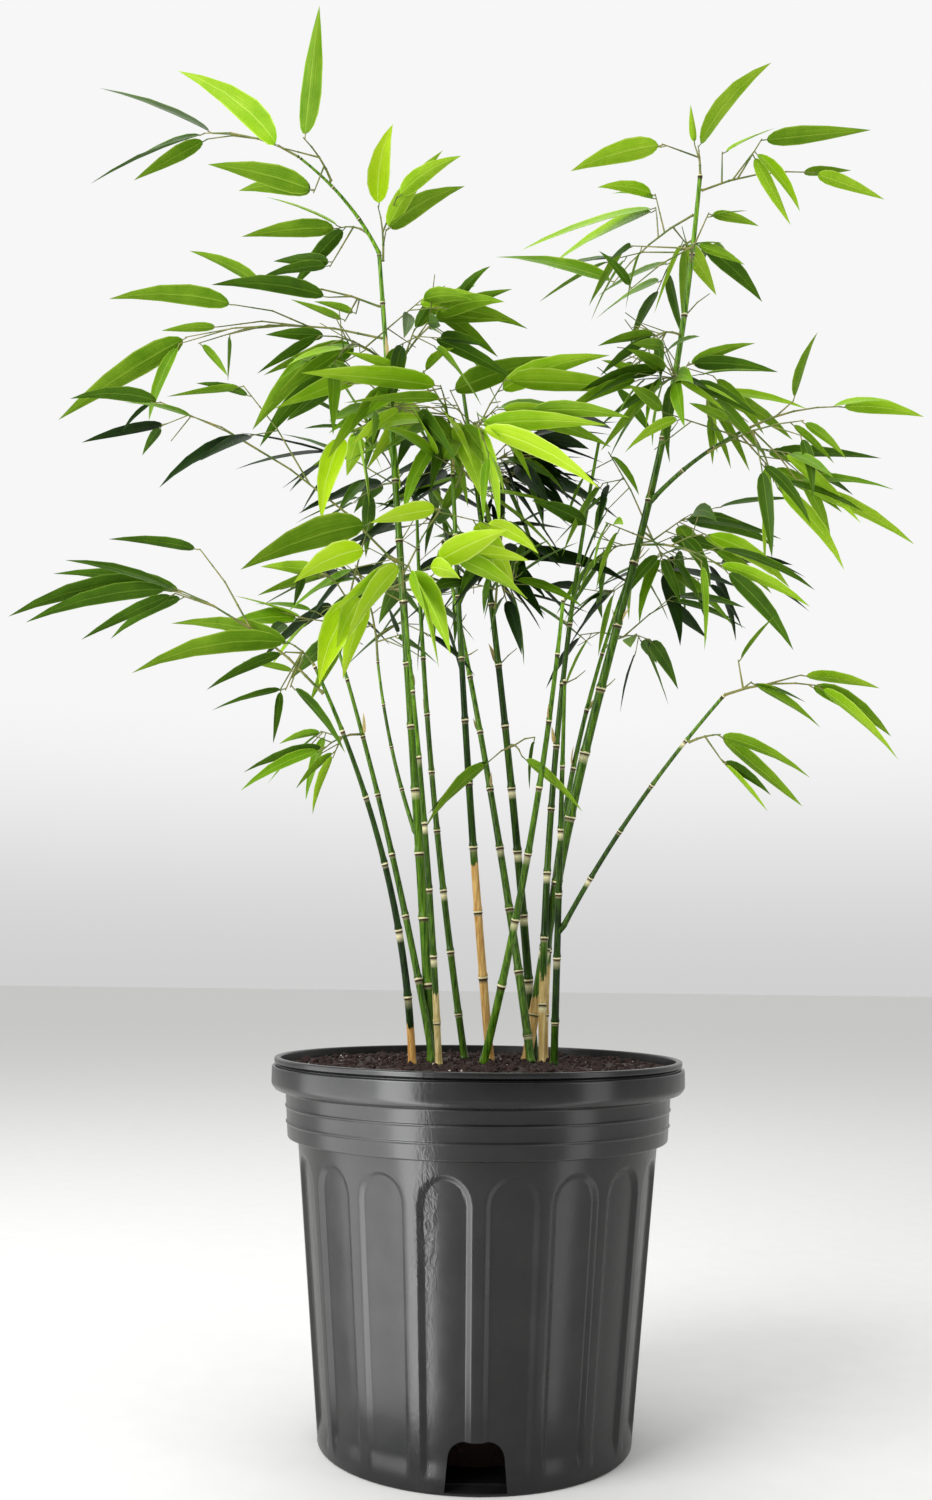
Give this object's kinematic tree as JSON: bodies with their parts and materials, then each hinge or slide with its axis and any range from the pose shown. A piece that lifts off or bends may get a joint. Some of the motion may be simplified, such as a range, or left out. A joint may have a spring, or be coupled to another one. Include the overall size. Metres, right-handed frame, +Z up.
{
  "type": "potted bamboo",
  "caption": "Clump of bamboo with leaning canes and drooping sprays of narrow leaves, growing in a fluted round nursery pot filled with potting mix.",
  "frame": {"origin": "centre of the pot's flat underside", "axes": "+Z up along the clump's height, -Y towards the front, +X to the right"},
  "size_m": [0.6345, 0.4271, 1.0118],
  "materials": {
    "pot_plastic": "satin",
    "potting_mix": "matte",
    "culm_green": "satin",
    "leaf_green": "satin"
  },
  "bodies": {
    "root": {"pot": "pot_plastic", "soil": "potting_mix", "culm_01": "culm_green", "culm_02": "culm_green", "culm_03": "culm_green", "culm_04": "culm_green", "culm_05": "culm_green", "culm_06": "culm_green", "culm_07": "culm_green", "culm_08": "culm_green", "culm_09": "culm_green", "culm_10": "culm_green", "culm_11": "culm_green", "culm_12": "culm_green", "culm_13": "culm_green", "bough_top_left": "culm_green", "bough_mid_left": "culm_green", "bough_low_right": "culm_green", "bough_right": "culm_green", "spray_top_left": "leaf_green", "spray_top_upright": "leaf_green", "spray_crown_left": "leaf_green", "spray_left_a": "leaf_green", "spray_left_b": "leaf_green", "spray_left_c": "leaf_green", "spray_left_d": "leaf_green", "spray_left_e": "leaf_green", "spray_mid_left": "leaf_green", "spray_mid_right": "leaf_green", "spray_mid_front": "leaf_green", "spray_crown_mid": "leaf_green", "spray_front_a": "leaf_green", "spray_back_mid": "leaf_green", "spray_front_b": "leaf_green", "spray_left_f": "leaf_green", "spray_inner_left": "leaf_green", "spray_inner_back": "leaf_green", "spray_inner_front": "leaf_green", "spray_right_a": "leaf_green", "spray_right_b": "leaf_green", "spray_right_tip": "leaf_green", "spray_right_c": "leaf_green", "spray_right_d": "leaf_green", "spray_right_e": "leaf_green", "spray_crown_right": "leaf_green", "spray_crown_right_b": "leaf_green", "spray_crown_right_c": "leaf_green", "spray_crown_right_d": "leaf_green", "spray_low_left_a": "leaf_green", "spray_low_left_b": "leaf_green", "spray_low_left_c": "leaf_green", "spray_low_right_a": "leaf_green", "spray_low_right_b": "leaf_green", "spray_low_mid": "leaf_green", "spray_back_left_a": "leaf_green", "spray_back_left_b": "leaf_green", "spray_back_a": "leaf_green", "spray_back_right_a": "leaf_green", "spray_back_right_b": "leaf_green", "spray_back_crown": "leaf_green"}
  },
  "joints": []
}
